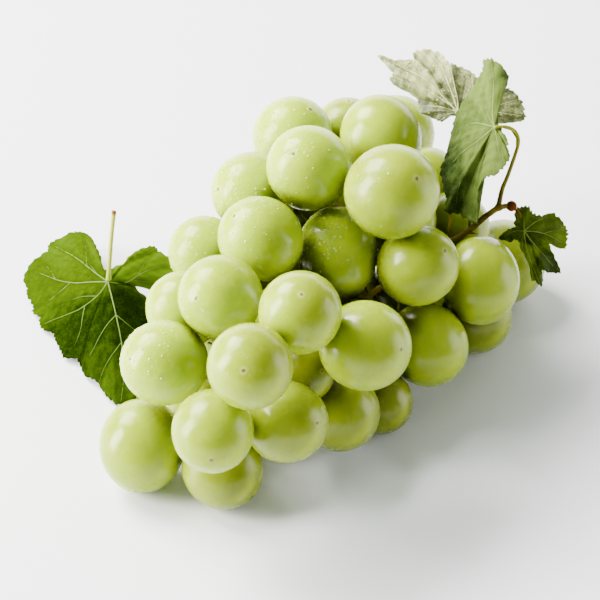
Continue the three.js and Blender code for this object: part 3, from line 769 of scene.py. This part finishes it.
# A blade of spokes from the junction to the edge, draped on the grapes, with an upper and an under side
def makeBlade(leaf, fits, node):
    rng = np.random.default_rng(blade["seed"])
    heart = np.array(seenAt(*leaf["junction"]))
    edge = edgeLine(leaf["rim"], heart, rng)
    spokes, rings = len(edge), blade["rings"]
    reachOut = np.linalg.norm(edge - heart, axis=1)
    points, share = [heart[None, :]], [0.0]
    for ring in range(1, rings + 1):
        part = ring / rings
        row = heart + (edge - heart) * part
        row[:, 2] += 4 * blade["dome"] * part * (1 - part) * reachOut
        points.append(row)
        share.extend([part] * spokes)
    middle, share = np.vstack(points), np.array(share)
    faces = []
    for i in range(spokes):
        after = (i + 1) % spokes
        faces.append((0, 1 + i, 1 + after))
        for ring in range(1, rings):
            inner = 1 + (ring - 1) * spokes
            outer = inner + spokes
            faces.append((inner + i, outer + i, outer + after, inner + after))
    veinDistance, lit = pictureValues(leaf, middle)
    turn = np.tile(np.arange(spokes) / spokes * 2 * np.pi, rings)
    counts = blade["streaks"]
    streak = sum(np.sin(turn * count + 3 * count + 4 * share[1:]) for count in counts) / len(counts)
    streak = np.concatenate([[0.0], streak]) * leaf["streaked"]
    middle = drape(middle, fits)
    swell = 1 - np.exp(-((veinDistance / blade["puckerReach"]) ** 2))
    first, second = (np.sin(middle @ np.array(wave)) for wave in blade["waves"])
    lift = blade["pucker"] * swell + blade["crumple"] * (first * second + 1.5 * streak)
    lift *= np.clip(share * 6, 0, 1)
    middle = middle + gridNormals(middle, faces) * lift[:, None]
    middle[:, 2] = np.maximum(middle[:, 2], blade["thickness"])
    half = gridNormals(middle, faces) * (blade["thickness"] / 2)
    both = np.vstack([middle + half, middle - half])
    under = len(middle)
    skin = list(faces)
    skin += [tuple(under + k for k in reversed(face)) for face in faces]
    outer = 1 + (rings - 1) * spokes
    for i in range(spokes):
        here, after = outer + i, outer + (i + 1) % spokes
        skin.append((here, under + here, under + after, after))
    piece = makeObject(leaf["name"], both, skin)
    for name, values in (("veinDistance", veinDistance / mm), ("lit", lit + 0.6 * streak)):
        setValues(piece, name, np.concatenate([values, values]))
    finishPiece(piece, leafMaterial(leaf), node, node)
    makeVeins(leaf, middle, faces, node)
    print("leaf made:", leaf["name"], len(skin), "faces")
    return piece


# Raised veins, laid on the blade along the lines of sight
def makeVeins(leaf, middle, faces, slot):
    tree = BVHTree.FromPolygons([Vector(p) for p in middle], faces)
    points, skin = [], []
    for vein in leaf["veins"]:
        line = []
        for pixel in smoothLine([np.array(p, dtype=float) for p in vein["route"]], 8):
            sight = (seenAt(*pixel, 0) - lensPlace).normalized()
            hit = tree.ray_cast(lensPlace, sight)[0]
            if hit is not None:
                line.append(hit - sight * (blade["thickness"] / 2))
        if len(line) < 3:
            continue
        widths = np.linspace(1, 0.25, len(line)) * vein["width"] * blade["veinWidth"] / 2
        tubePoints, tubeFaces = tubeMesh(line, widths, blade["veinSides"])
        base = len(points)
        points += [Vector((p.x, p.y, max(p.z, blade["veinGap"]))) for p in tubePoints]
        skin += [tuple(base + k for k in face) for face in tubeFaces]
    piece = makeObject(leaf["name"] + "_veins", points, skin)
    material, tree, shader = startMaterial(leaf["name"] + "Veins")
    tone = remap(tree, noiseOf(tree, 300, 2), 0.3, 0.7, 0.0, 0.35)
    tree.links.new(mixColours(tree, tone, leaf["vein"], leaf["light"]), shader.inputs["Base Color"])
    setShader(shader, subsurface=0.3, subsurfaceRadius=(0.6, 0.8, 0.2), subsurfaceScale=0.6 * mm)
    setShader(shader, roughness=0.5, specular=0.25)
    finishPiece(piece, material, slot)


# The net of the smallest veins, and the painted shade in the furrow beside each large one, as masks
def buildNetGroup():
    group = bpy.data.node_groups.new("leafNet", "ShaderNodeTree")
    face = group.interface
    for name, value in (("Coarse", 800.0), ("Fine", 2000.0)):
        face.new_socket(name, in_out="INPUT", socket_type="NodeSocketFloat").default_value = value
    for name in ("Net", "PaintedFurrowShade", "Relief"):
        face.new_socket(name, in_out="OUTPUT", socket_type="NodeSocketFloat")
    start, end = group.nodes.new("NodeGroupInput"), group.nodes.new("NodeGroupOutput")
    lines = []
    for name, width in (("Coarse", 0.07), ("Fine", 0.10)):
        cells = addNode(group, "ShaderNodeTexVoronoi", {"feature": "DISTANCE_TO_EDGE"})
        group.links.new(objectCoordinates(group), cells.inputs["Vector"])
        group.links.new(start.outputs[name], cells.inputs["Scale"])
        lines.append(remap(group, cells.outputs["Distance"], 0.0, width, 1.0, 0.0))
    net = calculate(group, "MAXIMUM", lines[0], calculate(group, "MULTIPLY", lines[1], 0.45))
    furrowShade = remap(group, attributeOf(group, "veinDistance"), 0.2, 1.6, 1.0, 0.0)
    group.links.new(net, end.inputs["Net"])
    group.links.new(furrowShade, end.inputs["PaintedFurrowShade"])
    group.links.new(calculate(group, "SUBTRACT", 1.0, net), end.inputs["Relief"])
    return group


def leafMaterial(leaf):
    material, tree, shader = startMaterial(leaf["name"] + "Skin")
    net = tree.nodes.new("ShaderNodeGroup")
    net.node_tree = netGroup
    patch = remap(tree, noiseOf(tree, 260, 9, 0.85), 0.33, 0.67, -leaf["mottle"], leaf["mottle"])
    # The lit attribute is painted light and shade, with the blade's own streaks added in
    lit = calculate(tree, "ADD", attributeOf(tree, "lit"), patch)
    green = mixColours(tree, lit, leaf["dark"], leaf["light"])
    fine = calculate(tree, "MULTIPLY", net.outputs["Net"], blade["netShare"])
    netted = mixColours(tree, fine, green, leaf["vein"])
    # Painted shade in the furrow beside each large vein
    furrowShade = calculate(tree, "MULTIPLY", net.outputs["PaintedFurrowShade"], blade["paintedFurrowShadeShare"])
    tree.links.new(mixColours(tree, furrowShade, netted, leaf["dark"]), shader.inputs["Base Color"])
    low, high = leaf["roughness"]
    tree.links.new(remap(tree, noiseOf(tree, 500, 3), 0.3, 0.7, low, high), shader.inputs["Roughness"])
    addBump(tree, shader, net.outputs["Relief"], 0.45, 0.2 * mm)
    setShader(shader, subsurface=0.2, subsurfaceRadius=(0.5, 0.8, 0.1), subsurfaceScale=0.8 * mm)
    setShader(shader, specular=leaf["shine"])
    return material


# The loose leaf's own stalk, which ends in a cut, dried tip

leftPetiole = {
    "route": [(108.5, 279, 21), (109.5, 262, 29), (111.5, 236, 39), (114, 211, 48)],
    "radius": 0.78 * mm,
    "flare": 1.35,
    "tipSwell": 0.12,
    "sides": 20,
    "perPoint": 20,
    "colour": (0.42, 0.43, 0.06, 1),
    "green": (0.30, 0.37, 0.02, 1),
    "cut": (0.16, 0.06, 0.015, 1),
}


def tubeMesh(line, radii, sides):
    points, faces = [], []
    across = (line[1] - line[0]).orthogonal().normalized()
    for i, place in enumerate(line):
        forward = (line[min(i + 1, len(line) - 1)] - line[max(i - 1, 0)]).normalized()
        across = (across - forward * across.dot(forward)).normalized()
        other = forward.cross(across)
        for k in range(sides):
            turn = 2 * math.pi * k / sides
            points.append(place + (across * math.cos(turn) + other * math.sin(turn)) * radii[i])
    for i in range(len(line) - 1):
        for k in range(sides):
            after = (k + 1) % sides
            here, above = i * sides, (i + 1) * sides
            faces.append((here + k, here + after, above + after, above + k))
    faces.append(tuple(reversed(range(sides))))
    faces.append(tuple(range((len(line) - 1) * sides, len(line) * sides)))
    return points, faces


def makeLeftPetiole():
    look = leftPetiole
    line = smoothLine([seenAt(*point) for point in look["route"]], look["perPoint"])
    shares = np.arange(len(line)) / (len(line) - 1)
    foot = (look["flare"] - 1) * np.exp(-shares * 9)
    tip = look["tipSwell"] * np.clip(shares - 0.85, 0, None) / 0.15
    points, faces = tubeMesh(line, look["radius"] * (1 + foot + tip), look["sides"])
    piece = makeObject("petiole_left_stem", points, faces)
    setValues(piece, "share", np.repeat(shares, look["sides"]))
    material, tree, shader = startMaterial("petioleSkin")
    share = attributeOf(tree, "share")
    fresh = mixColours(tree, remap(tree, share, 0.0, 0.35), look["green"], look["colour"])
    streaked = mixColours(tree, remap(tree, noiseOf(tree, 700, 4), 0.45, 0.75, 0, 0.4), fresh, look["green"])
    cut = remap(tree, share, 0.93, 0.985)
    tree.links.new(mixColours(tree, cut, streaked, look["cut"]), shader.inputs["Base Color"])
    tree.links.new(remap(tree, cut, 0, 1, 0.4, 0.8), shader.inputs["Roughness"])
    addBump(tree, shader, noiseOf(tree, 900, 4), 0.3, 0.15 * mm)
    setShader(shader, subsurface=0.25, subsurfaceRadius=(0.7, 0.7, 0.2), subsurfaceScale=1.5 * mm)
    setShader(shader, specular=0.12)
    finishPiece(piece, material, "petiole", "petiole_left")
    print("leaf stalk made")


# Droplets: flattened drops strewn by Geometry Nodes over what the mist fell on

mist = {
    "grapes": {"grape_01": 0.12, "grape_02": 0.8, "grape_03": 0.9, "grape_04": 0.35, "grape_05": 1.0,
               "grape_06": 0.12, "grape_20": 1.0, "grape_22": 0.9, "grape_25": 1.0, "grape_26": 0.8},
    "from": Vector((-0.75, -0.15, 0.6)),
    "grazing": 0.15,
    "perArea": 900000.0,
    "leafShare": 0.5,
    "smallest": 0.11 * mm,
    "largest": 0.46 * mm,
    "rarity": 4.0,  # the higher, the fewer of the large ones
    "flatness": 0.55,
    "segments": 8,
    "rings": 5,
    "seed": 11,
}


def buildDropTree():
    tree = bpy.data.node_groups.new("droplets", "GeometryNodeTree")
    face = tree.interface
    for name, kind in (("Geometry", "Geometry"), ("Density", "Float"), ("Smallest", "Float"),
                       ("Largest", "Float"), ("Seed", "Int"), ("Material", "Material")):
        face.new_socket(name, in_out="INPUT", socket_type="NodeSocket" + kind)
    face.new_socket("Geometry", in_out="OUTPUT", socket_type="NodeSocketGeometry")
    start, end = tree.nodes.new("NodeGroupInput"), tree.nodes.new("NodeGroupOutput")
    weight = addNode(tree, "GeometryNodeInputNamedAttribute", {"data_type": "FLOAT", "Name": "mist"})
    density = calculate(tree, "MULTIPLY", start.outputs["Density"], weight.outputs["Attribute"])
    strew = addNode(tree, "GeometryNodeDistributePointsOnFaces")
    ball = {"Segments": mist["segments"], "Rings": mist["rings"], "Radius": 1.0}
    drop = addNode(tree, "GeometryNodeMeshUVSphere", ball)
    squash = addNode(tree, "GeometryNodeTransform", {"Scale": (1, 1, mist["flatness"])})
    sizes = addNode(tree, "FunctionNodeRandomValue", {"data_type": "FLOAT"})
    spread = addNode(tree, "ShaderNodeMapRange")
    place = addNode(tree, "GeometryNodeInstanceOnPoints")
    real = addNode(tree, "GeometryNodeRealizeInstances")
    shade = addNode(tree, "GeometryNodeSetShadeSmooth")
    paint = addNode(tree, "GeometryNodeSetMaterial")
    for source, target in (
        (start.outputs["Geometry"], strew.inputs["Mesh"]),
        (density, strew.inputs["Density"]),
        (start.outputs["Seed"], strew.inputs["Seed"]),
        (drop.outputs["Mesh"], squash.inputs["Geometry"]),
        (start.outputs["Seed"], sizes.inputs["Seed"]),
        (calculate(tree, "POWER", sizes.outputs[1], mist["rarity"]), spread.inputs["Value"]),
        (start.outputs["Smallest"], spread.inputs["To Min"]),
        (start.outputs["Largest"], spread.inputs["To Max"]),
        (strew.outputs["Points"], place.inputs["Points"]),
        (squash.outputs["Geometry"], place.inputs["Instance"]),
        (strew.outputs["Rotation"], place.inputs["Rotation"]),
        (spread.outputs["Result"], place.inputs["Scale"]),
        (place.outputs["Instances"], real.inputs["Geometry"]),
        (real.outputs["Geometry"], shade.inputs["Geometry"]),
        (shade.outputs["Geometry"], paint.inputs["Geometry"]),
        (start.outputs["Material"], paint.inputs["Material"]),
        (paint.outputs["Geometry"], end.inputs["Geometry"]),
    ):
        tree.links.new(source, target)
    return tree


def waterMaterial():
    material, tree, shader = startMaterial("water")
    setShader(shader, colour=(0.80, 0.90, 0.28, 1), roughness=0.05, ior=1.4, transmission=0.4)
    return material


# One carrier mesh from several pieces, with how much mist each point caught
def mistCarrier(name, parts):
    points, faces, caught = [], [], []
    for piece, amount in parts:
        base = len(points)
        for vertex in piece.data.vertices:
            points.append(vertex.co.copy())
            facing = max(0.0, vertex.normal.dot(mist["from"].normalized()) - mist["grazing"])
            caught.append(amount * facing)
        faces += [tuple(base + k for k in polygon.vertices) for polygon in piece.data.polygons]
    carrier = makeObject(name, points, faces)
    setValues(carrier, "mist", caught)
    return carrier


def strewDroplets(name, parts, settings):
    carrier = mistCarrier(name + "Carrier", parts)
    modifier = carrier.modifiers.new("droplets", "NODES")
    modifier.node_group = dropTree
    for item in dropTree.interface.items_tree:
        if item.in_out == "INPUT" and item.name in settings:
            modifier[item.identifier] = settings[item.name]
    graph = bpy.context.evaluated_depsgraph_get()
    mesh = bpy.data.meshes.new_from_object(carrier.evaluated_get(graph))
    carrier.modifiers.remove(modifier)
    bpy.data.objects.remove(carrier)
    mesh.name = name
    piece = placeMesh(mesh)
    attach(piece, "root")
    print("droplets made:", name, len(mesh.polygons), "faces")


# Floor and light

studio = {
    "floor": (0.80, 0.82, 0.80, 1),
    "floorReach": 3.0,
    "aim": Vector((0, 0, 0.045)),
    "world": (0.90, 0.94, 1.0, 1),
    "worldStrength": 0.35,
    "lamps": [
        {"name": "window", "at": (-1.10, -0.15, 0.45), "wide": 0.45, "tall": 0.90, "power": 74.0},
        {"name": "softbox", "at": (-0.80, 0.55, 1.10), "wide": 0.80, "tall": 0.80, "power": 104.0},
        {"name": "backdrop", "at": (0.20, 1.50, 0.40), "wide": 2.60, "tall": 0.80, "power": 40.0},
        {"name": "card", "at": (0.80, 0.00, 0.20), "wide": 0.45, "tall": 0.45, "power": 4.0},
    ],
}


def addStudio():
    reach = studio["floorReach"]
    corners = [(-reach, -reach, 0), (reach, -reach, 0), (reach, reach, 0), (-reach, reach, 0)]
    floor = makeObject("floor", corners, [(0, 1, 2, 3)])
    material, tree, shader = startMaterial("floorPaint")
    setShader(shader, colour=studio["floor"], roughness=0.55)
    floor.data.materials.append(material)
    world = bpy.data.worlds.new("studioWorld")
    world.use_nodes = True
    background = world.node_tree.nodes["Background"]
    background.inputs["Color"].default_value = studio["world"]
    background.inputs["Strength"].default_value = studio["worldStrength"]
    bpy.context.scene.world = world
    for lamp in studio["lamps"]:
        data = bpy.data.lights.new(lamp["name"], "AREA")
        data.energy = lamp["power"]
        data.shape = "RECTANGLE"
        data.size, data.size_y = lamp["wide"], lamp["tall"]
        light = bpy.data.objects.new(lamp["name"], data)
        light.location = lamp["at"]
        light.rotation_euler = (studio["aim"] - light.location).to_track_quat("-Z", "Y").to_euler()
        bpy.context.scene.collection.objects.link(light)
    print("studio made")


addCamera()
addStudio()
fits, grapes = makeGrapes()
makeStalk()
makeShootStalks()
netGroup = buildNetGroup()
makeBlade(leftLeaf, fits, "leaf_left")
makeBlade(greenLeaf, fits, "leaf_green")
paleBlade = makeBlade(paleLeaf, fits, "leaf_pale")
makeBlade(smallLeaf, fits, "leaf_small")
makeLeftPetiole()
dropTree = buildDropTree()
water = waterMaterial()
dropSizes = {"Density": mist["perArea"], "Smallest": mist["smallest"], "Largest": mist["largest"],
             "Seed": mist["seed"], "Material": water}
wetGrapes = [(piece, mist["grapes"].get(piece.name, 0.0)) for piece in grapes]
strewDroplets("grape_mist", [pair for pair in wetGrapes if pair[1] > 0], dropSizes)
leafSizes = dict(dropSizes, Density=mist["perArea"] * mist["leafShare"], Seed=mist["seed"] + 1)
strewDroplets("leaf_mist", [(paleBlade, 1.0)], leafSizes)
